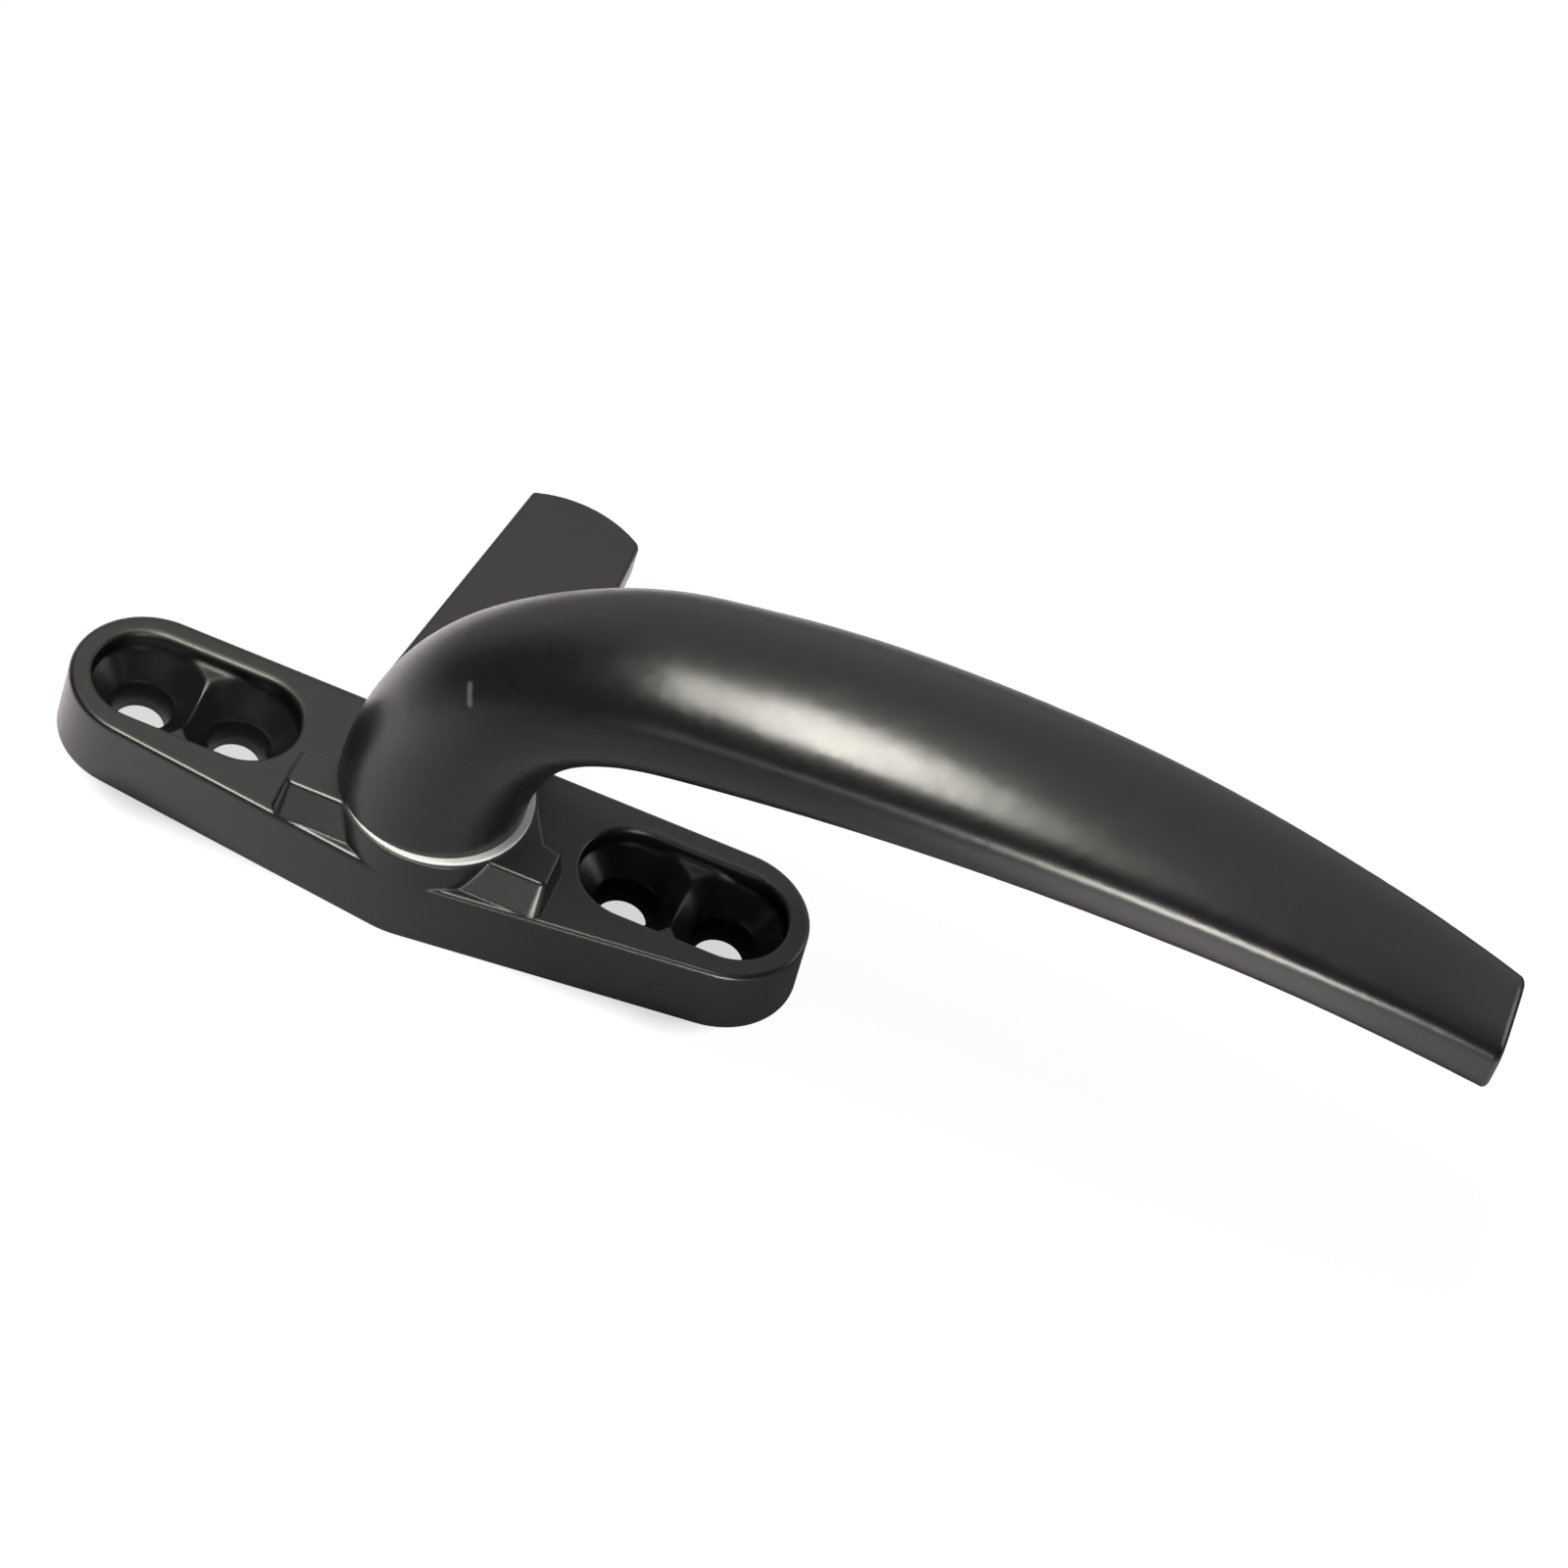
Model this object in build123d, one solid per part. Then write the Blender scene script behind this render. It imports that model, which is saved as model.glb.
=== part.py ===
from build123d import *
import os
from math import acos, asin, atan2, copysign, cos, hypot, pi, radians, sin, sqrt, tan

# Window handle with a locking tongue, in millimetres.
# The origin lies midway between the screw holes, in the face that is screwed to the window.
# +Z points away from the window, +X along the closed lever and +Y the way the tongue points.
# Each piece is drawn about the pivot axis, which passes in front of the line of the holes.

# Base plate
PLATE_THICKNESS = 7.3
END_RADIUS = 7.95
BOSS_RADIUS = 9.7
END_INSET = 0.45
HOLE_LINE_Y = 2.1
OUTER_HOLE_SPACING = 60.0
INNER_HOLE_SPACING = 40.0
CASTING_DRAFT = 2.0
PLATE_EDGE_ROUND = 0.5

# Screw pockets, each over two countersunk holes
HOLE_RADIUS = 2.5
POCKET_RADIUS = 5.4
POCKET_DEPTH = 1.5
POCKET_EDGE_ROUND = 0.3
COUNTERSINK_RADIUS = 5.95
COUNTERSINK_DEPTH = 2.85
COUNTERSINK_NECK = 0.6
HOLE_LAND = 1.0

# Raised centre of the base plate, with an ear on each side
BOSS_HEIGHT = 3.1
EAR_FLANK_INSET = 0.1
EAR_FLANK_ANGLE = 27.0
EAR_REACH = 13.75
EAR_LEDGE_WIDTH = 2.4
EAR_LEDGE_DROP = 0.45
EAR_FRONT_Y = -7.9
EAR_SIDE_SLOPE = 0.6
EAR_FRONT_SLOPE = 1.85
EAR_FOOT_CORNER = 1.3
EAR_TOP_CORNER = 0.6
EAR_EDGE_ROUND = 0.35

# Pivot: spigot, flanged bush and the recess in the mounting face
SPIGOT_RADIUS = 4.0
RUNNING_CLEARANCE = 0.05
BUSH_WALL = 1.2
FLANGE_INSET = 0.3
FLANGE_THICKNESS = 0.4
RECESS_RADIUS = 7.6
RECESS_DEPTH = 5.0

# Spring washer, retaining washer and screw, all in the recess
SPRING_HEIGHT = 0.9
SPRING_SHEET = 0.5
WASHER_SIDE_GAP = 0.7
WASHER_BORE_GAP = 0.3
WASHER_THICKNESS = 1.2
SPIGOT_FLAT_HALF = 3.0
FLAT_CLEARANCE = 0.05
SPIGOT_END_GAP = 0.2
SCREW_RADIUS = 2.0
SCREW_LENGTH = 9.0
SCREW_HEAD_RADIUS = 3.5
SCREW_HEAD_HEIGHT = 2.0
SCREW_CROSS_LENGTH = 4.0
SCREW_CROSS_WIDTH = 0.9
SCREW_CROSS_DEPTH = 1.1
TAPPED_HOLE_SPARE = 1.0

# Tongue
TONGUE_CLEARANCE = 0.7
TONGUE_THICKNESS = 3.9
TONGUE_REACH = 37.3
TONGUE_RIGHT_X = 7.4
TONGUE_LEFT_X = -9.9
TONGUE_TAPER = 8.6
TONGUE_END_RADIUS = 11.4
TONGUE_END_X = 0.3
TONGUE_RIGHT_CORNER = 1.2
TONGUE_LEFT_CORNER = 0.5
TONGUE_ROOT_Y = -1.0
TONGUE_ROOT_RADIUS = 5.0
TONGUE_EDGE_ROUND = 0.4

# Lever: its spine is a short upright line, a bend and a long flat arc
LEVER_REACH = 99.8
NECK_X = -0.3
HEEL_OFFSET = 0.25
NECK_STRAIGHT = 1.2
BEND_RADIUS = 25.0
GRIP_RADIUS = 171.0
GRIP_APEX_X = 55.3
TIP_EDGE_ROUND = 0.7

# Lever widths across the spine and thicknesses in the plane of the spine, from the foot to the tip
FOOT_WIDTH = 18.0
FOOT_THICKNESS = 18.2
NECK_WIDTH = 17.9
NECK_THICKNESS = 17.4
THROAT_WIDTH = 17.9
THROAT_THICKNESS = 14.9
BEND_WIDTH = 18.6
BEND_THICKNESS = 13.6
GRIP_ROOT_WIDTH = 19.4
GRIP_ROOT_THICKNESS = 13.2
GRIP_MIDDLE_WIDTH = 19.0
GRIP_MIDDLE_THICKNESS = 11.6
GRIP_OUTER_WIDTH = 17.5
GRIP_OUTER_THICKNESS = 9.7
GRIP_END_WIDTH = 14.6
GRIP_END_THICKNESS = 8.0
TIP_WIDTH = 10.7
TIP_THICKNESS = 6.7

# Lever sections: share of the spine's length, width, thickness, then the height of the widest line
# over the middle as a share of the half thickness, and the squareness (2 is an ellipse) above and below it
LEVER_SECTIONS = [
    (0.00, FOOT_WIDTH, FOOT_THICKNESS, 0.0, 2.0, 2.0),
    (0.10, NECK_WIDTH, NECK_THICKNESS, 0.0, 2.0, 2.0),
    (0.20, THROAT_WIDTH, THROAT_THICKNESS, 0.0, 2.0, 2.0),
    (0.30, BEND_WIDTH, BEND_THICKNESS, 0.16, 2.0, 2.4),
    (0.42, GRIP_ROOT_WIDTH, GRIP_ROOT_THICKNESS, 0.25, 1.8, 2.4),
    (0.56, GRIP_MIDDLE_WIDTH, GRIP_MIDDLE_THICKNESS, 0.21, 1.95, 2.5),
    (0.70, GRIP_OUTER_WIDTH, GRIP_OUTER_THICKNESS, 0.16, 2.35, 2.7),
    (0.85, GRIP_END_WIDTH, GRIP_END_THICKNESS, 0.17, 2.7, 3.1),
    (1.00, TIP_WIDTH, TIP_THICKNESS, 0.24, 3.8, 4.4),
]
SECTION_POINTS = 32
SECTION_COUNT = 25
TIP_ROUND_STEPS = 4
HEEL_SHARE = 0.1
TIP_TURN = 6

# Places that follow from the sizes above
end_x = OUTER_HOLE_SPACING / 2 - END_INSET
pocket_x = (OUTER_HOLE_SPACING + INNER_HOLE_SPACING) / 4
hole_pitch = (OUTER_HOLE_SPACING - INNER_HOLE_SPACING) / 2
boss_top_z = PLATE_THICKNESS + BOSS_HEIGHT
boss_top_radius = BOSS_RADIUS - BOSS_HEIGHT * tan(radians(CASTING_DRAFT))
seat_z = boss_top_z + FLANGE_THICKNESS
bore_radius = SPIGOT_RADIUS + RUNNING_CLEARANCE + BUSH_WALL
washer_top_z = RECESS_DEPTH - SPRING_HEIGHT
washer_bottom_z = washer_top_z - WASHER_THICKNESS
spigot_end_z = washer_bottom_z + SPIGOT_END_GAP
tongue_bottom_z = boss_top_z + TONGUE_CLEARANCE


def disc(radius, low, high):
    """Upright cylinder about the pivot axis, between two heights."""
    return Pos(0, 0, low) * Cylinder(radius, high - low, align=(Align.CENTER, Align.CENTER, Align.MIN))


def plate_outline(growth):
    """Outline of the plate: two end arcs and the boss arc, joined by tangent lines, grown all round."""
    boss = BOSS_RADIUS + growth
    end = END_RADIUS + growth
    lean = atan2(HOLE_LINE_Y, end_x) + asin((boss - end) / hypot(end_x, HOLE_LINE_Y))
    end_start = (end_x + end * sin(lean), HOLE_LINE_Y - end * cos(lean))
    end_middle = (end_x + end * cos(lean / 2), HOLE_LINE_Y + end * sin(lean / 2))
    end_back = (end_x, HOLE_LINE_Y + end)
    boss_start = (boss * sin(lean), -boss * cos(lean))
    right = Line(boss_start, end_start) + ThreePointArc(end_start, end_middle, end_back)
    left = mirror(right, about=Plane.YZ)
    front = ThreePointArc((-boss_start[0], boss_start[1]), (0, -boss), boss_start)
    back = Line(end_back, (-end_back[0], end_back[1]))
    return make_face(right + left + front + back)


def plate_body():
    """Drafted plate with a softened upper edge, widest at the mounting face."""
    foot = plate_outline(PLATE_THICKNESS * tan(radians(CASTING_DRAFT)))
    top = Pos(0, 0, PLATE_THICKNESS) * plate_outline(0)
    body = loft([foot, top], ruled=True)
    return fillet(body.faces().sort_by(Axis.Z)[-1].edges(), PLATE_EDGE_ROUND)


def boss():
    """Round boss under the lever, its wall in line with the front of the plate."""
    foot_radius = BOSS_RADIUS + PLATE_THICKNESS * tan(radians(CASTING_DRAFT))
    grounded = (Align.CENTER, Align.CENTER, Align.MIN)
    return Cone(foot_radius, boss_top_radius, boss_top_z, align=grounded)


def ears_outline(flank_distance, reach, front_y, corner):
    """Outline of both ears in one: slanting flanks, a small ledge, then straight sides and front."""
    angle = radians(EAR_FLANK_ANGLE)
    start = (flank_distance * cos(angle), flank_distance * sin(angle))
    flank_width = EAR_REACH - EAR_LEDGE_WIDTH - start[0]
    bend = (start[0] + flank_width, start[1] - flank_width / tan(angle))
    ledge = (reach, bend[1] - EAR_LEDGE_DROP)
    right = [(0, start[1]), start, bend, ledge, (reach, front_y), (0, front_y)]
    half = make_face(Polyline(*right, close=True))
    half = fillet(half.vertices().sort_by(Axis.X)[-1], corner)
    return half + mirror(half, about=Plane.YZ)


def ears():
    """Both ears, with sloping fronts and sides and softened upper edges."""
    foot = ears_outline(BOSS_RADIUS - EAR_FLANK_INSET, EAR_REACH, EAR_FRONT_Y, EAR_FOOT_CORNER)
    top_reach = EAR_REACH - EAR_SIDE_SLOPE
    top_front = EAR_FRONT_Y + EAR_FRONT_SLOPE
    top = ears_outline(boss_top_radius - EAR_FLANK_INSET, top_reach, top_front, EAR_TOP_CORNER)
    body = loft([Pos(0, 0, PLATE_THICKNESS) * foot, Pos(0, 0, boss_top_z) * top], ruled=True)
    back = body.edges().filter_by(Axis.X).sort_by(Axis.Y)[-1]
    rounded = [edge for edge in body.faces().sort_by(Axis.Z)[-1].edges() if edge.center().Y < back.center().Y - 0.1]
    return fillet(rounded, EAR_EDGE_ROUND)


def screw_pocket():
    """Hollow of one pocket: a straight-walled slot whose walls cut off two wide countersinks."""
    slot_bottom = PLATE_THICKNESS - POCKET_DEPTH
    neck_z = slot_bottom - COUNTERSINK_DEPTH
    neck_radius = HOLE_RADIUS + COUNTERSINK_NECK
    slot = SlotCenterToCenter(hole_pitch, 2 * POCKET_RADIUS)
    hollow = extrude(Pos(0, 0, slot_bottom) * slot, 2 * POCKET_DEPTH)
    walls = extrude(slot, PLATE_THICKNESS)
    grounded = (Align.CENTER, Align.CENTER, Align.MIN)
    for x in (-hole_pitch / 2, hole_pitch / 2):
        hollow += walls & Pos(x, 0, neck_z) * Cone(neck_radius, COUNTERSINK_RADIUS, COUNTERSINK_DEPTH, align=grounded)
        hollow += Pos(x, 0, HOLE_LAND) * Cone(HOLE_RADIUS, neck_radius, neck_z - HOLE_LAND, align=grounded)
        hollow += Pos(x, 0, 0) * Cylinder(HOLE_RADIUS, HOLE_LAND, align=grounded)
    return hollow


def base_plate():
    """Casting that is screwed to the window, with the bore and the recess for the pivot."""
    body = plate_body() + boss() + ears()
    for side in (-1, 1):
        body -= Pos(side * pocket_x, HOLE_LINE_Y, 0) * screw_pocket()
    mouths = [
        edge
        for edge in body.edges().filter_by_position(Axis.Z, PLATE_THICKNESS, PLATE_THICKNESS)
        if abs(edge.center().Y - HOLE_LINE_Y) < POCKET_RADIUS + 0.1
        and abs(abs(edge.center().X) - pocket_x) < hole_pitch / 2 + POCKET_RADIUS + 0.1
    ]
    body = fillet(mouths, POCKET_EDGE_ROUND)
    body -= disc(RECESS_RADIUS, 0, RECESS_DEPTH)
    body -= disc(bore_radius, RECESS_DEPTH, boss_top_z)
    return body


def pivot_bush():
    """Plastic bush: a sleeve in the bore and the thin flange on which the lever turns."""
    sleeve = disc(bore_radius, RECESS_DEPTH, boss_top_z)
    flange = disc(boss_top_radius - FLANGE_INSET, boss_top_z, seat_z)
    return sleeve + flange - disc(SPIGOT_RADIUS + RUNNING_CLEARANCE, RECESS_DEPTH, seat_z)


def spring_washer():
    """Conical spring washer between the plate and the retaining washer."""
    inner = SPIGOT_RADIUS + WASHER_BORE_GAP
    outer = RECESS_RADIUS - WASHER_SIDE_GAP
    rise = SPRING_HEIGHT - SPRING_SHEET
    section = Polyline(
        (inner, washer_top_z),
        (outer, washer_top_z + rise),
        (outer, RECESS_DEPTH),
        (inner, RECESS_DEPTH - rise),
        close=True,
    )
    return revolve(Plane.XZ * make_face(section), Axis.Z)


def flat_sided(radius, half_width, low, high):
    """Cylinder about the pivot axis with two opposite flats."""
    grounded = (Align.CENTER, Align.CENTER, Align.MIN)
    block = Pos(0, 0, low) * Box(2 * radius, 2 * half_width, high - low, align=grounded)
    return disc(radius, low, high) & block


def retaining_washer():
    """Washer with a flat-sided hole, turning with the spigot."""
    hole_radius = SPIGOT_RADIUS + FLAT_CLEARANCE
    hole = flat_sided(hole_radius, SPIGOT_FLAT_HALF + FLAT_CLEARANCE, washer_bottom_z, washer_top_z)
    return disc(RECESS_RADIUS - WASHER_SIDE_GAP, washer_bottom_z, washer_top_z) - hole


def retaining_screw():
    """Pan-head screw with a cross recess, driven up into the spigot."""
    head_bottom = washer_bottom_z - SCREW_HEAD_HEIGHT
    head = disc(SCREW_HEAD_RADIUS, head_bottom, washer_bottom_z)
    head = fillet(head.edges().sort_by(Axis.Z)[0], SCREW_HEAD_HEIGHT / 3)
    screw = head + disc(SCREW_RADIUS, washer_bottom_z, washer_bottom_z + SCREW_LENGTH)
    grounded = (Align.CENTER, Align.CENTER, Align.MIN)
    for angle in (0, 90):
        blade = Box(SCREW_CROSS_LENGTH, SCREW_CROSS_WIDTH, SCREW_CROSS_DEPTH, align=grounded)
        screw -= Pos(0, 0, head_bottom) * Rot(0, 0, angle) * blade
    return screw


def polar(centre, radius, angle):
    """Point of the XZ plane at an angle about a centre."""
    return (centre[0] + radius * cos(angle), 0, centre[1] + radius * sin(angle))


def lever_spine():
    """Centre line of the lever: upright neck, bend and gently arched grip, all tangent."""
    bend_centre = (NECK_X + BEND_RADIUS, seat_z + NECK_STRAIGHT)
    run = bend_centre[0] - GRIP_APEX_X
    rise = sqrt((GRIP_RADIUS - BEND_RADIUS) ** 2 - run**2)
    grip_centre = (GRIP_APEX_X, bend_centre[1] - rise)
    meeting = atan2(rise, run)
    tip = acos((LEVER_REACH - GRIP_APEX_X) / GRIP_RADIUS)
    neck_top = polar(bend_centre, BEND_RADIUS, pi)
    bend_end = polar(bend_centre, BEND_RADIUS, meeting)
    neck = Line((NECK_X, 0, seat_z), neck_top)
    bend = ThreePointArc(neck_top, polar(bend_centre, BEND_RADIUS, (pi + meeting) / 2), bend_end)
    grip_middle = polar(grip_centre, GRIP_RADIUS, (meeting + tip) / 2)
    grip = ThreePointArc(bend_end, grip_middle, polar(grip_centre, GRIP_RADIUS, tip))
    return Wire([neck, bend, grip])


def lever_section(width, thickness, shoulder, squareness_above, squareness_below):
    """Closed section, as wide as x and as thick as y: a dome that meets a fuller belly at its widest line."""
    widest = thickness / 2 * shoulder
    points = []
    for step in range(SECTION_POINTS):
        angle = 2 * pi * step / SECTION_POINTS
        above = step <= SECTION_POINTS / 2
        squareness = squareness_above if above else squareness_below
        reach = thickness / 2 - widest if above else thickness / 2 + widest
        across = copysign(abs(cos(angle)) ** (2 / squareness), cos(angle))
        up = copysign(abs(sin(angle)) ** (2 / squareness), sin(angle))
        points.append((width / 2 * across, widest + reach * up))
    return make_face(Spline(*points, periodic=True))


def station_value(share, column):
    """One column of the sections at a share of the spine, eased smoothly between the stations."""
    shares = [station[0] for station in LEVER_SECTIONS]
    values = [station[column] for station in LEVER_SECTIONS]
    last = len(shares) - 1
    low = max(index for index in range(last) if shares[index] <= share)
    high = low + 1

    def slope(index):
        before = max(index - 1, 0)
        after = min(index + 1, last)
        return (values[after] - values[before]) / (shares[after] - shares[before])

    gap = shares[high] - shares[low]
    t = (share - shares[low]) / gap
    start = (2 * t**3 - 3 * t**2 + 1) * values[low] + (t**3 - 2 * t**2 + t) * gap * slope(low)
    end = (3 * t**2 - 2 * t**3) * values[high] + (t**3 - t**2) * gap * slope(high)
    return start + end


def lever_arm():
    """Neck and grip, lofted through sections along the spine, then rounded over at the tip."""
    spine = lever_spine()
    tip_share = 1 - TIP_EDGE_ROUND / spine.length

    def section_at(share, station, inset=0.0):
        heel = HEEL_OFFSET * max(1 - station / HEEL_SHARE, 0) ** 2
        squared_up = Vector(1, 0, 0) * station**TIP_TURN
        facing = spine.tangent_at(share) * (1 - station**TIP_TURN) + squared_up
        plane = Plane(spine.position_at(share) - Vector(heel, 0, 0), x_dir=(0, 1, 0), z_dir=facing)
        width = station_value(station, 1) - 2 * inset
        thickness = station_value(station, 2) - 2 * inset
        shape = [station_value(station, column) for column in (3, 4, 5)]
        return plane * lever_section(width, thickness, *shape)

    stations = [step / (SECTION_COUNT - 1) for step in range(SECTION_COUNT)]
    arm = loft([section_at(station * tip_share, station) for station in stations])
    rounded = []
    for step in range(TIP_ROUND_STEPS + 1):
        angle = pi / 2 * step / TIP_ROUND_STEPS
        share = tip_share + (1 - tip_share) * sin(angle)
        rounded.append(section_at(share, 1, TIP_EDGE_ROUND * (1 - cos(angle))))
    return arm + loft(rounded)


def tongue():
    """Flat tongue that swings over the window's frame, rooted in the foot of the neck."""
    taper = radians(TONGUE_TAPER)
    left_root = Vector(TONGUE_LEFT_X + TONGUE_ROOT_Y * tan(taper), TONGUE_ROOT_Y)
    right_root = Vector(TONGUE_RIGHT_X, TONGUE_ROOT_Y)
    along = Vector(sin(taper), cos(taper))
    end_centre = Vector(TONGUE_END_X, TONGUE_REACH - TONGUE_END_RADIUS)
    away = left_root - end_centre
    left_length = sqrt(away.dot(along) ** 2 - away.dot(away) + TONGUE_END_RADIUS**2) - away.dot(along)
    left_corner = left_root + along * left_length
    end_rise = sqrt(TONGUE_END_RADIUS**2 - (TONGUE_RIGHT_X - TONGUE_END_X) ** 2)
    right_corner = Vector(TONGUE_RIGHT_X, end_centre.Y + end_rise)
    outline = Line(left_root, left_corner)
    outline += ThreePointArc(left_corner, (TONGUE_END_X, TONGUE_REACH), right_corner)
    outline += Polyline(right_corner, right_root, left_root)
    face = make_face(outline)
    corners = {
        TONGUE_RIGHT_CORNER: right_corner,
        TONGUE_LEFT_CORNER: left_corner,
        TONGUE_ROOT_RADIUS: left_root,
    }
    for radius, corner in corners.items():
        face = fillet(face.vertices().sort_by_distance(corner)[0], radius)
    body = extrude(Pos(0, 0, tongue_bottom_z) * face, TONGUE_THICKNESS)
    rims = body.faces().sort_by(Axis.Z)
    return fillet(rims[0].edges() + rims[-1].edges(), TONGUE_EDGE_ROUND)


def spigot():
    """Turned end of the lever: round in the bush, flat-sided in the retaining washer."""
    rooted = seat_z + TONGUE_THICKNESS
    return disc(SPIGOT_RADIUS, washer_top_z, rooted) + flat_sided(
        SPIGOT_RADIUS, SPIGOT_FLAT_HALF, spigot_end_z, washer_top_z
    )


def lever_handle():
    """Lever, tongue and spigot in one casting, with the tapped hole for the screw."""
    body = lever_arm() + tongue() + spigot()
    return body - disc(SCREW_RADIUS, spigot_end_z, washer_bottom_z + SCREW_LENGTH + TAPPED_HOLE_SPARE)


PARTS = {
    "base_plate": base_plate,
    "pivot_bush": pivot_bush,
    "spring_washer": spring_washer,
    "retaining_washer": retaining_washer,
    "retaining_screw": retaining_screw,
    "lever_handle": lever_handle,
}

os.makedirs("parts", exist_ok=True)
for name, make in PARTS.items():
    export_step(Pos(0, -HOLE_LINE_Y, 0) * make(), "parts/" + name + ".step")
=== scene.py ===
import bpy
from math import radians
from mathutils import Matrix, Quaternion, Vector

# Lengths are in metres in the part's own frame, and colours are linear

# Satin black coat on the castings
COAT_IOR = 1.6
COAT_COLOURS = ((0.0048, 0.0041, 0.0052), (0.0064, 0.0056, 0.0068))
COAT_TONE_SCALE = 60.0
COAT_ROUGHNESS = (0.27, 0.31)
COAT_GLOSS_SCALE = 450.0
COAT_PEEL_SCALE = 2600.0
COAT_PEEL_STRENGTH = 0.05
BUMP_DEPTH = 0.00002

# Flat tops of the plate and the tongue: how upright their faces are, the height they end below, and how
# much rougher they are
FLAT_FACING = (0.990, 0.9985)
FLAT_HEIGHT = (0.0150, 0.0170)
FLAT_ROUGHNESS = 0.16

# Radius of the edges as the coat softens them, and where along Y the plate's radius grows
PLATE_FRONT_EDGE = 0.0004
PLATE_REAR_EDGE = 0.0011
PLATE_EDGE_CHANGE = (0.0020, 0.0040)
LEVER_EDGE = 0.0002
EDGE_SAMPLES = 10

# A short light rub mark on the front of the neck
MARK_START = (0.00120, -0.00785, 0.03210)
MARK_END = (0.00185, -0.00908, 0.03110)
MARK_WIDTH = 0.00006
MARK_SOFTNESS = 0.00042
MARK_COLOUR = (0.085, 0.085, 0.088)

# Pale grey nylon of the bush
NYLON_COLOURS = ((0.78, 0.80, 0.83), (0.86, 0.88, 0.91))
NYLON_ROUGHNESS = 0.45
NYLON_TONE_SCALE = 300.0
NYLON_GRAIN_SCALE = 3000.0
NYLON_GRAIN_STRENGTH = 0.1

# Zinc-plated steel of the hidden pieces
STEEL_COLOURS = ((0.50, 0.50, 0.51), (0.60, 0.60, 0.61))
STEEL_ROUGHNESS = (0.25, 0.42)
STEEL_TONE_SCALE = 500.0
STEEL_GLOSS_SCALE = 1500.0
STEEL_GRAIN_SCALE = 4000.0
STEEL_GRAIN_STRENGTH = 0.15

# Floor, just below the mounting face
FLOOR_REACH = 4.0
FLOOR_DROP = 0.0002
FLOOR_TONE = (0.9, 0.9, 0.9)
FLOOR_WHITE_SHARE = 0.96

# Strip of floor under the screw holes with painted shade: how much darker it is painted for the camera and in
# mirrored rays
HOLES_START = (-0.026, -0.002, 0)
HOLES_END = (0.026, -0.002, 0)
HOLES_WIDTH = 0.014
HOLES_SOFTNESS = 0.002
HOLES_SHADE = 0.32
HOLES_MIRROR_SHADE = 0.7

# Painted light of the floor in mirrored rays: its painted level fades away from the origin and towards the
# front right
MIRROR_TINT = (1.0, 0.95, 1.07)
SPREAD_LEVEL = (0.75, 0.25)
SPREAD_REACH = (0.05, 0.15)
SIDE_HEADING = (-0.8, 0.6, 0)
SIDE_LEVEL = (0.32, 1.4)
SIDE_REACH = (-0.022, 0.040)

# Two pools of light painted on the floor in mirrored rays, in front of the grip and beyond the tip
FRONT_GLOW_PLACE = (0.080, -0.052, 0)
FRONT_GLOW_LEVEL = (0.9, 0.0)
FRONT_GLOW_REACH = (0.014, 0.045)
TIP_GLOW_PLACE = (0.155, -0.025, 0)
TIP_GLOW_LEVEL = (0.7, 0.0)
TIP_GLOW_REACH = (0.020, 0.055)

# World: light at the back and overhead, by the heading's Y and Z
STUDIO_TINT = (1.0, 1.0, 0.92)
BACK_LEVEL = (0.04, 0.52)
BACK_HEADING = (0.15, 0.60)
OVERHEAD_LEVEL = (0.0, 0.45)
OVERHEAD_HEADING = (0.76, 0.94)

# Camera, set from the photograph's perspective
CAMERA_PLACE = Vector((0.05441, -0.35305, 0.41792))
CAMERA_TARGET = Vector((0.02980, 0.01075, 0.015))
CAMERA_ROLL = radians(19.17)
CAMERA_LENS = 131.65
CAMERA_SENSOR = 36.0

WHITE = (1, 1, 1)

# The part of a noise's range that is used
NOISE_RANGE = (0.3, 0.7)

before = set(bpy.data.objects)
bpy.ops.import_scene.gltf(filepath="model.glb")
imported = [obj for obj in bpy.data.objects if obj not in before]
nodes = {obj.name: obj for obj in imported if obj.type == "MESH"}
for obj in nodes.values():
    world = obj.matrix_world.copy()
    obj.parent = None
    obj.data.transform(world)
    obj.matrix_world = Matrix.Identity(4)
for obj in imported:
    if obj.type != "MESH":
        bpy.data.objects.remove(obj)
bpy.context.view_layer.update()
scene = bpy.context.scene


# Node helpers
def new_material(name):
    """An empty material with its output node."""
    material = bpy.data.materials.new(name)
    material.use_nodes = True
    material.node_tree.nodes.clear()
    output = material.node_tree.nodes.new("ShaderNodeOutputMaterial")
    return material, output


def add(tree, kind, **values):
    """A new node with its properties and its sockets' constants set."""
    node = tree.nodes.new(kind)
    for key, value in values.items():
        if hasattr(node, key):
            setattr(node, key, value)
        else:
            node.inputs[key.replace("_", " ")].default_value = value
    return node


def feed(tree, socket, value):
    """Links a socket to an output, or sets it to a number, a point or a colour."""
    if isinstance(value, bpy.types.NodeSocket):
        tree.links.new(value, socket)
    elif socket.type == "RGBA":
        socket.default_value = (*value, 1)
    else:
        socket.default_value = value


def object_place(tree):
    """The shaded point in the object's own coordinates."""
    return add(tree, "ShaderNodeTexCoord").outputs["Object"]


def separate(tree, vector):
    """The X, Y and Z outputs of a vector."""
    node = add(tree, "ShaderNodeSeparateXYZ")
    tree.links.new(vector, node.inputs[0])
    return node.outputs


def noise(tree, coordinate, scale, detail=3.0, roughness=0.5):
    """Noise of the object's own coordinates, so that it stays on the piece."""
    node = add(tree, "ShaderNodeTexNoise", Scale=scale, Detail=detail, Roughness=roughness)
    tree.links.new(coordinate, node.inputs["Vector"])
    return node.outputs["Fac"]


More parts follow.
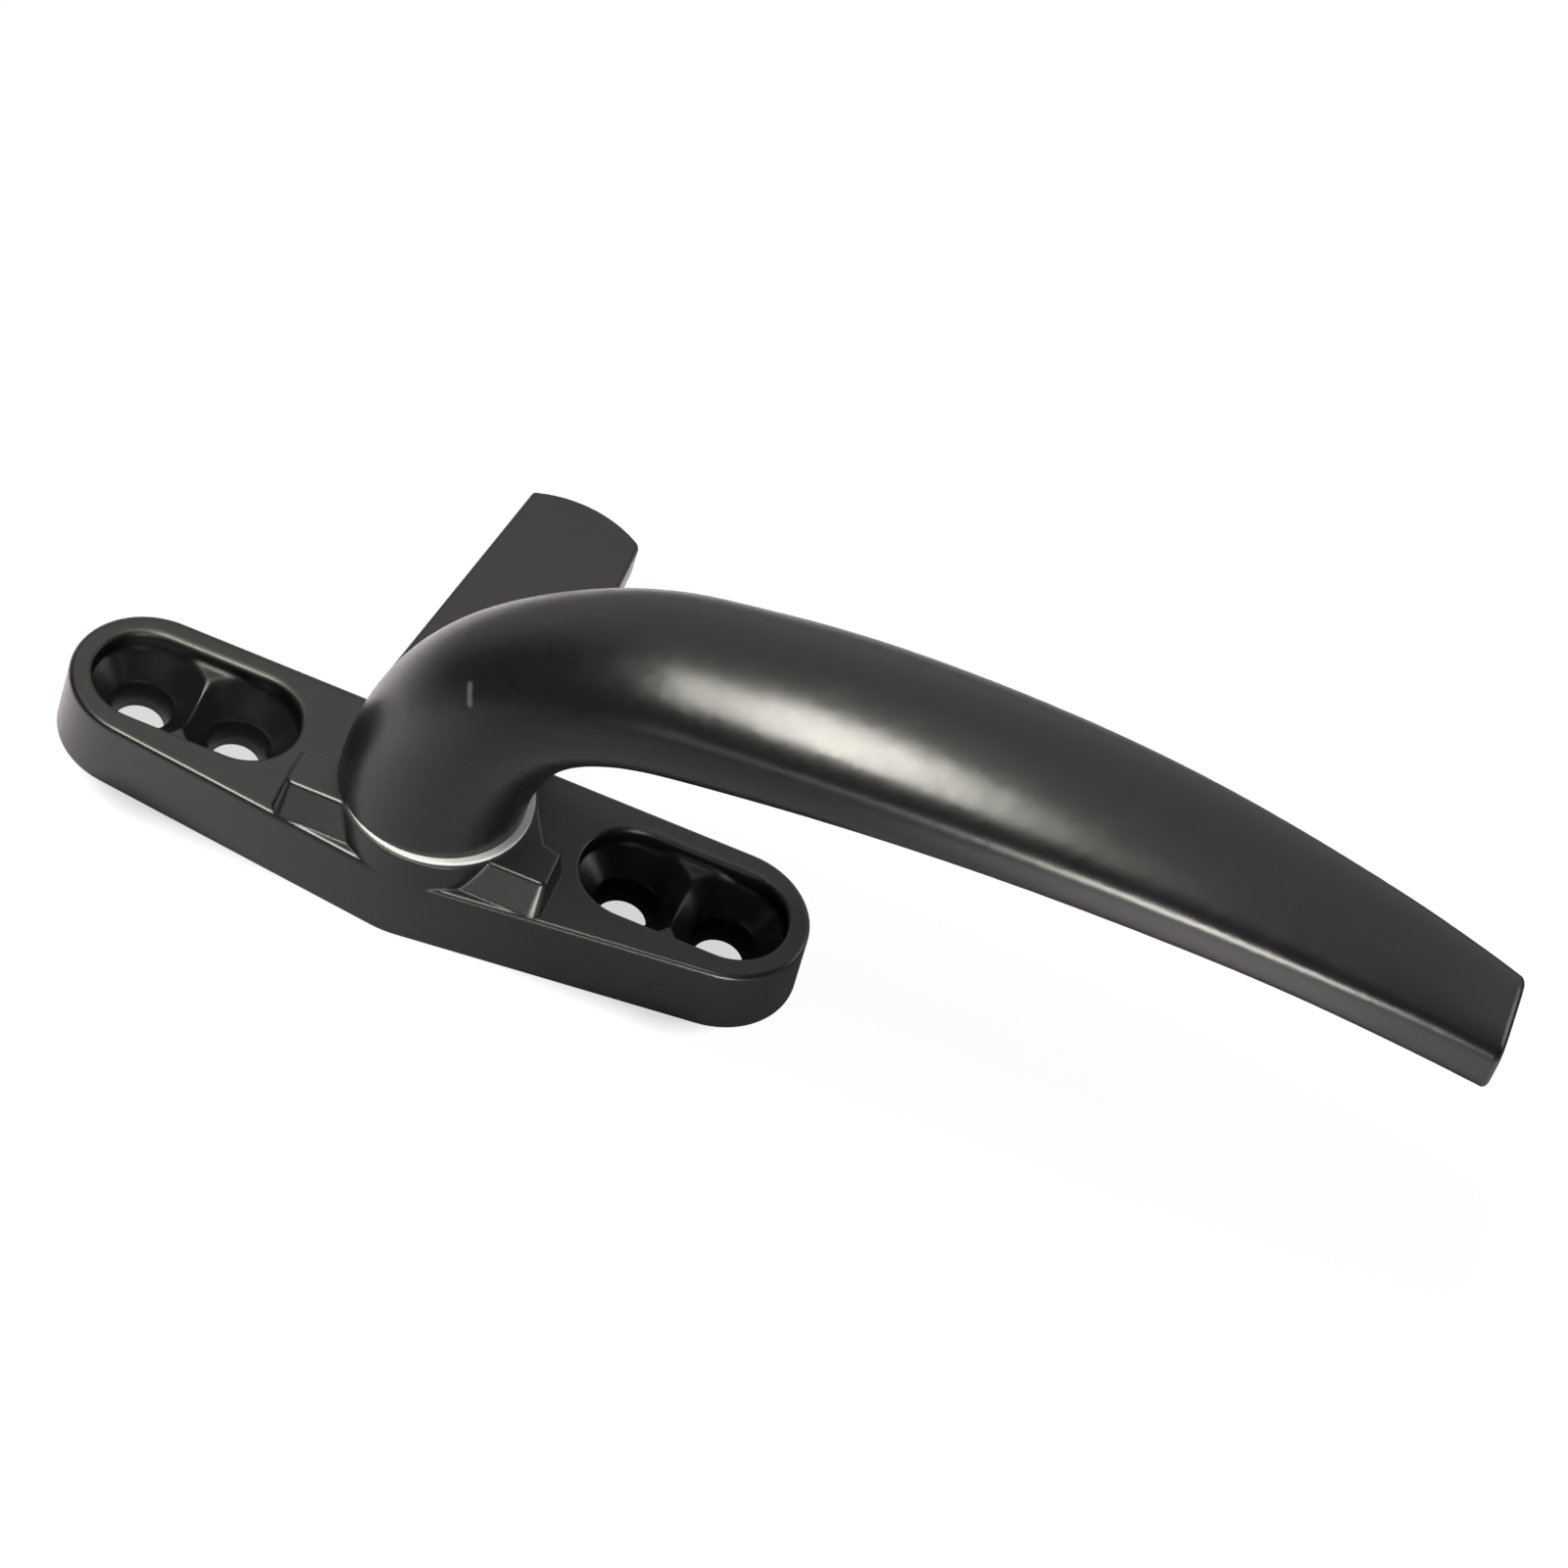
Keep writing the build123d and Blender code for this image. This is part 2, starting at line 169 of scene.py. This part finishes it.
def remap(tree, value, levels, span=NOISE_RANGE):
    """The value brought from a span onto two levels, and held at them outside it."""
    node = add(tree, "ShaderNodeMapRange")
    tree.links.new(value, node.inputs["Value"])
    for name, limit in zip(("From Min", "From Max", "To Min", "To Max"), (*span, *levels)):
        node.inputs[name].default_value = limit
    return node.outputs["Result"]


def arithmetic(tree, operation, first, second):
    """One operation on two values, each an output or a number."""
    node = add(tree, "ShaderNodeMath", operation=operation)
    feed(tree, node.inputs[0], first)
    feed(tree, node.inputs[1], second)
    return node.outputs[0]


def on_vectors(tree, operation, first, second, result="Vector"):
    """One operation on two vectors, each an output or a point."""
    node = add(tree, "ShaderNodeVectorMath", operation=operation)
    feed(tree, node.inputs[0], first)
    feed(tree, node.inputs[1], second)
    return node.outputs[result]


def scaled(tree, vector, factor):
    """A fixed vector times an output."""
    node = add(tree, "ShaderNodeVectorMath", operation="SCALE")
    node.inputs[0].default_value = vector
    tree.links.new(factor, node.inputs["Scale"])
    return node.outputs[0]


def blend_colours(tree, factor, first, second):
    """Colour between two, each an output or a colour, by a factor."""
    node = add(tree, "ShaderNodeMix", data_type="RGBA")
    tree.links.new(factor, node.inputs["Factor"])
    feed(tree, node.inputs[6], first)
    feed(tree, node.inputs[7], second)
    return node.outputs[2]


def blend_shaders(tree, factor, first, second):
    """Shader between two, by a factor."""
    node = add(tree, "ShaderNodeMixShader")
    tree.links.new(factor, node.inputs["Fac"])
    tree.links.new(first, node.inputs[1])
    tree.links.new(second, node.inputs[2])
    return node.outputs[0]


def bump(tree, height, strength, distance, normal=None):
    """Bump from a height, on a given normal if there is one."""
    node = add(tree, "ShaderNodeBump", Strength=strength, Distance=distance)
    tree.links.new(height, node.inputs["Height"])
    if normal:
        tree.links.new(normal, node.inputs["Normal"])
    return node.outputs["Normal"]


def distance_from(tree, place, point):
    """Distance of the shaded point from a fixed one."""
    return on_vectors(tree, "DISTANCE", place, point, "Value")


def near_line(tree, place, start, end, width, softness):
    """One inside a short line of a given width, falling softly to zero beside it."""
    along = Vector(end) - Vector(start)
    middle = (Vector(start) + Vector(end)) / 2
    offset = on_vectors(tree, "SUBTRACT", place, middle)
    kept = add(tree, "ShaderNodeClamp", Min=-along.length / 2, Max=along.length / 2)
    tree.links.new(on_vectors(tree, "DOT_PRODUCT", offset, along.normalized(), "Value"), kept.inputs["Value"])
    foot = scaled(tree, along.normalized(), kept.outputs["Result"])
    away = on_vectors(tree, "DISTANCE", offset, foot, "Value")
    return remap(tree, away, (1.0, 0.0), (width / 2, width / 2 + softness))


# Materials of the object
def coat_roughness(tree, place, normal):
    """Slightly uneven gloss, rougher on the flat tops."""
    gloss = remap(tree, noise(tree, place, COAT_GLOSS_SCALE), COAT_ROUGHNESS)
    upright = remap(tree, separate(tree, normal)["Z"], (0.0, 1.0), FLAT_FACING)
    low = remap(tree, separate(tree, place)["Z"], (1.0, 0.0), FLAT_HEIGHT)
    flat = arithmetic(tree, "MULTIPLY", upright, low)
    return arithmetic(tree, "ADD", gloss, arithmetic(tree, "MULTIPLY", flat, FLAT_ROUGHNESS))


def coat(name, front_edge, rear_edge=None, marked=False):
    """Satin black powder coat: fine orange peel, softened edges and, on the lever, a light rub mark."""
    material, output = new_material(name)
    tree = material.node_tree
    coordinates = add(tree, "ShaderNodeTexCoord")
    place = coordinates.outputs["Object"]
    shader = add(tree, "ShaderNodeBsdfPrincipled", IOR=COAT_IOR)
    tone = remap(tree, noise(tree, place, COAT_TONE_SCALE, 4.0), (0.0, 1.0))
    colour = blend_colours(tree, tone, *COAT_COLOURS)
    if marked:
        rub = near_line(tree, place, MARK_START, MARK_END, MARK_WIDTH, MARK_SOFTNESS)
        colour = blend_colours(tree, rub, colour, MARK_COLOUR)
    tree.links.new(colour, shader.inputs["Base Color"])
    tree.links.new(coat_roughness(tree, place, coordinates.outputs["Normal"]), shader.inputs["Roughness"])
    soft_edges = add(tree, "ShaderNodeBevel", samples=EDGE_SAMPLES, Radius=front_edge)
    if rear_edge:
        radius = remap(tree, separate(tree, place)["Y"], (front_edge, rear_edge), PLATE_EDGE_CHANGE)
        tree.links.new(radius, soft_edges.inputs["Radius"])
    peel = noise(tree, place, COAT_PEEL_SCALE, 2.0)
    skin = bump(tree, peel, COAT_PEEL_STRENGTH, BUMP_DEPTH, soft_edges.outputs["Normal"])
    tree.links.new(skin, shader.inputs["Normal"])
    tree.links.new(shader.outputs["BSDF"], output.inputs["Surface"])
    return material


def nylon(name):
    """Pale grey nylon of the bush."""
    material, output = new_material(name)
    tree = material.node_tree
    place = object_place(tree)
    shader = add(tree, "ShaderNodeBsdfPrincipled", Roughness=NYLON_ROUGHNESS)
    tone = remap(tree, noise(tree, place, NYLON_TONE_SCALE), (0.0, 1.0))
    tree.links.new(blend_colours(tree, tone, *NYLON_COLOURS), shader.inputs["Base Color"])
    grain = noise(tree, place, NYLON_GRAIN_SCALE, 2.0)
    tree.links.new(bump(tree, grain, NYLON_GRAIN_STRENGTH, BUMP_DEPTH), shader.inputs["Normal"])
    tree.links.new(shader.outputs["BSDF"], output.inputs["Surface"])
    return material


def plated(name):
    """Zinc-plated steel with a faintly cloudy surface."""
    material, output = new_material(name)
    tree = material.node_tree
    place = object_place(tree)
    shader = add(tree, "ShaderNodeBsdfPrincipled", Metallic=1.0)
    tone = remap(tree, noise(tree, place, STEEL_TONE_SCALE, 5.0, 0.6), (0.0, 1.0))
    tree.links.new(blend_colours(tree, tone, *STEEL_COLOURS), shader.inputs["Base Color"])
    gloss = remap(tree, noise(tree, place, STEEL_GLOSS_SCALE), STEEL_ROUGHNESS)
    tree.links.new(gloss, shader.inputs["Roughness"])
    grain = noise(tree, place, STEEL_GRAIN_SCALE, 2.0)
    tree.links.new(bump(tree, grain, STEEL_GRAIN_STRENGTH, BUMP_DEPTH), shader.inputs["Normal"])
    tree.links.new(shader.outputs["BSDF"], output.inputs["Surface"])
    return material


def dress(node, material):
    """Gives a CAD node its material."""
    obj = nodes[node]
    obj.data.materials.clear()
    obj.data.materials.append(material)


dress("base_plate", coat("satin_black_plate", PLATE_FRONT_EDGE, PLATE_REAR_EDGE))
dress("lever_handle", coat("satin_black_lever", LEVER_EDGE, marked=True))
dress("pivot_bush", nylon("grey_nylon"))
steel = plated("zinc_plated_steel")
for piece in ("spring_washer", "retaining_washer", "retaining_screw"):
    dress(piece, steel)


# Floor: white for the camera, a plain pale sheet for diffuse rays, and painted light and shade in mirrored
# rays
def painted_floor_reflection(tree, place, painted_hole_shade):
    """The floor's colour in mirrored rays, a painted reflection: painted lightest behind and left of the
    object, dim away from it, with two painted glows, and painted shade under the screw holes."""
    leftwards = on_vectors(tree, "DOT_PRODUCT", place, SIDE_HEADING, "Value")
    side = remap(tree, leftwards, SIDE_LEVEL, SIDE_REACH)
    spread = remap(tree, distance_from(tree, place, (0, 0, 0)), SPREAD_LEVEL, SPREAD_REACH)
    front_glow = remap(tree, distance_from(tree, place, FRONT_GLOW_PLACE), FRONT_GLOW_LEVEL, FRONT_GLOW_REACH)
    tip_glow = remap(tree, distance_from(tree, place, TIP_GLOW_PLACE), TIP_GLOW_LEVEL, TIP_GLOW_REACH)
    glows = arithmetic(tree, "ADD", front_glow, tip_glow)
    level = arithmetic(tree, "ADD", arithmetic(tree, "MULTIPLY", spread, side), glows)
    open_share = arithmetic(tree, "SUBTRACT", 1.0, arithmetic(tree, "MULTIPLY", painted_hole_shade, HOLES_MIRROR_SHADE))
    return scaled(tree, MIRROR_TINT, arithmetic(tree, "MULTIPLY", level, open_share))


def floor_material():
    """Pale floor that shows white and keeps a faint shadow, with painted shade in the screw holes and painted
    light in mirrored rays.
    """
    material, output = new_material("pale_floor")
    tree = material.node_tree
    place = object_place(tree)
    path = add(tree, "ShaderNodeLightPath").outputs
    # Mask of the painted shade on the floor under the screw holes
    painted_hole_shade = near_line(tree, place, HOLES_START, HOLES_END, HOLES_WIDTH, HOLES_SOFTNESS)
    diffuse = add(tree, "ShaderNodeBsdfDiffuse")
    # In mirrored rays the floor's colour is painted light and shade, not a plain sheet
    tone = blend_colours(tree, path["Is Glossy Ray"], FLOOR_TONE, painted_floor_reflection(tree, place, painted_hole_shade))
    tree.links.new(tone, diffuse.inputs["Color"])
    white = add(tree, "ShaderNodeEmission", Color=(*WHITE, 1))
    # Painted shade: the floor's white is dimmed under the screw holes
    strength = arithmetic(tree, "SUBTRACT", 1.0, arithmetic(tree, "MULTIPLY", painted_hole_shade, HOLES_SHADE))
    tree.links.new(strength, white.inputs["Strength"])
    share = arithmetic(tree, "MULTIPLY", path["Is Camera Ray"], FLOOR_WHITE_SHARE)
    surface = blend_shaders(tree, share, diffuse.outputs["BSDF"], white.outputs["Emission"])
    tree.links.new(surface, output.inputs["Surface"])
    return material


corners = [(x * FLOOR_REACH, y * FLOOR_REACH, 0) for x, y in ((-1, -1), (1, -1), (1, 1), (-1, 1))]
floor_mesh = bpy.data.meshes.new("floor")
floor_mesh.from_pydata(corners, [], [(0, 1, 2, 3)])
floor_mesh.materials.append(floor_material())
floor = bpy.data.objects.new("floor", floor_mesh)
floor.location = (0, 0, -FLOOR_DROP)
scene.collection.objects.link(floor)

# World: white behind the object for the camera, and for its surfaces a soft studio that is
# light at the back and overhead, dim at the sides and dark behind the camera
world = bpy.data.worlds.new("studio")
scene.world = world
world.use_nodes = True
tree = world.node_tree
tree.nodes.clear()
heading = separate(tree, add(tree, "ShaderNodeTexCoord").outputs["Generated"])
back = remap(tree, heading["Y"], BACK_LEVEL, BACK_HEADING)
overhead = remap(tree, heading["Z"], OVERHEAD_LEVEL, OVERHEAD_HEADING)
soft = add(tree, "ShaderNodeBackground", Color=(*STUDIO_TINT, 1))
tree.links.new(arithmetic(tree, "ADD", back, overhead), soft.inputs["Strength"])
white = add(tree, "ShaderNodeBackground", Strength=1.0, Color=(*WHITE, 1))
camera_ray = add(tree, "ShaderNodeLightPath").outputs["Is Camera Ray"]
studio = blend_shaders(tree, camera_ray, soft.outputs[0], white.outputs[0])
tree.links.new(studio, add(tree, "ShaderNodeOutputWorld").inputs["Surface"])


# Lamps
def area_lamp(name, place, aim, size, power, colour):
    """Rectangular soft lamp turned towards a point."""
    data = bpy.data.lights.new(name, "AREA")
    data.shape = "RECTANGLE"
    data.size, data.size_y = size
    data.energy = power
    data.color = colour
    lamp = bpy.data.objects.new(name, data)
    lamp.location = place
    lamp.rotation_mode = "QUATERNION"
    lamp.rotation_quaternion = (Vector(aim) - Vector(place)).to_track_quat("-Z", "Y")
    lamp.visible_camera = False
    scene.collection.objects.link(lamp)


area_lamp("overhead_softbox", place=(-0.133, -0.122, 0.83), aim=(-0.133, -0.1219, 0),
          size=(0.26, 0.464), power=9.1, colour=(1, 0.975, 0.88))
area_lamp("low_front_strip", place=(0.24, -0.80, 0.08), aim=(0.08, 0, 0.035),
          size=(0.26, 0.16), power=1.2, colour=(1, 0.97, 0.90))
area_lamp("near_front_strip", place=(0.106, -0.165, 0.022), aim=(0.106, 0, 0.022),
          size=(0.070, 0.044), power=0.180, colour=(1, 0.97, 0.90))
area_lamp("right_side", place=(0.68, 0.36, 0.24), aim=(0.03, 0, 0.02),
          size=(0.40, 0.26), power=0.70, colour=(1, 0.98, 0.93))
area_lamp("front_fill", place=(-0.12, -0.80, 0.13), aim=(-0.12, 0, 0.13),
          size=(0.30, 0.26), power=0.30, colour=(1, 0.99, 0.98))

# Camera
camera_data = bpy.data.cameras.new("camera")
camera_data.sensor_width = CAMERA_SENSOR
camera_data.lens = CAMERA_LENS
camera = bpy.data.objects.new("camera", camera_data)
camera.location = CAMERA_PLACE
camera.rotation_mode = "QUATERNION"
upright = (CAMERA_TARGET - CAMERA_PLACE).to_track_quat("-Z", "Y")
camera.rotation_quaternion = upright @ Quaternion((0, 0, 1), CAMERA_ROLL)
scene.collection.objects.link(camera)
scene.camera = camera

scene.view_settings.view_transform = "Standard"
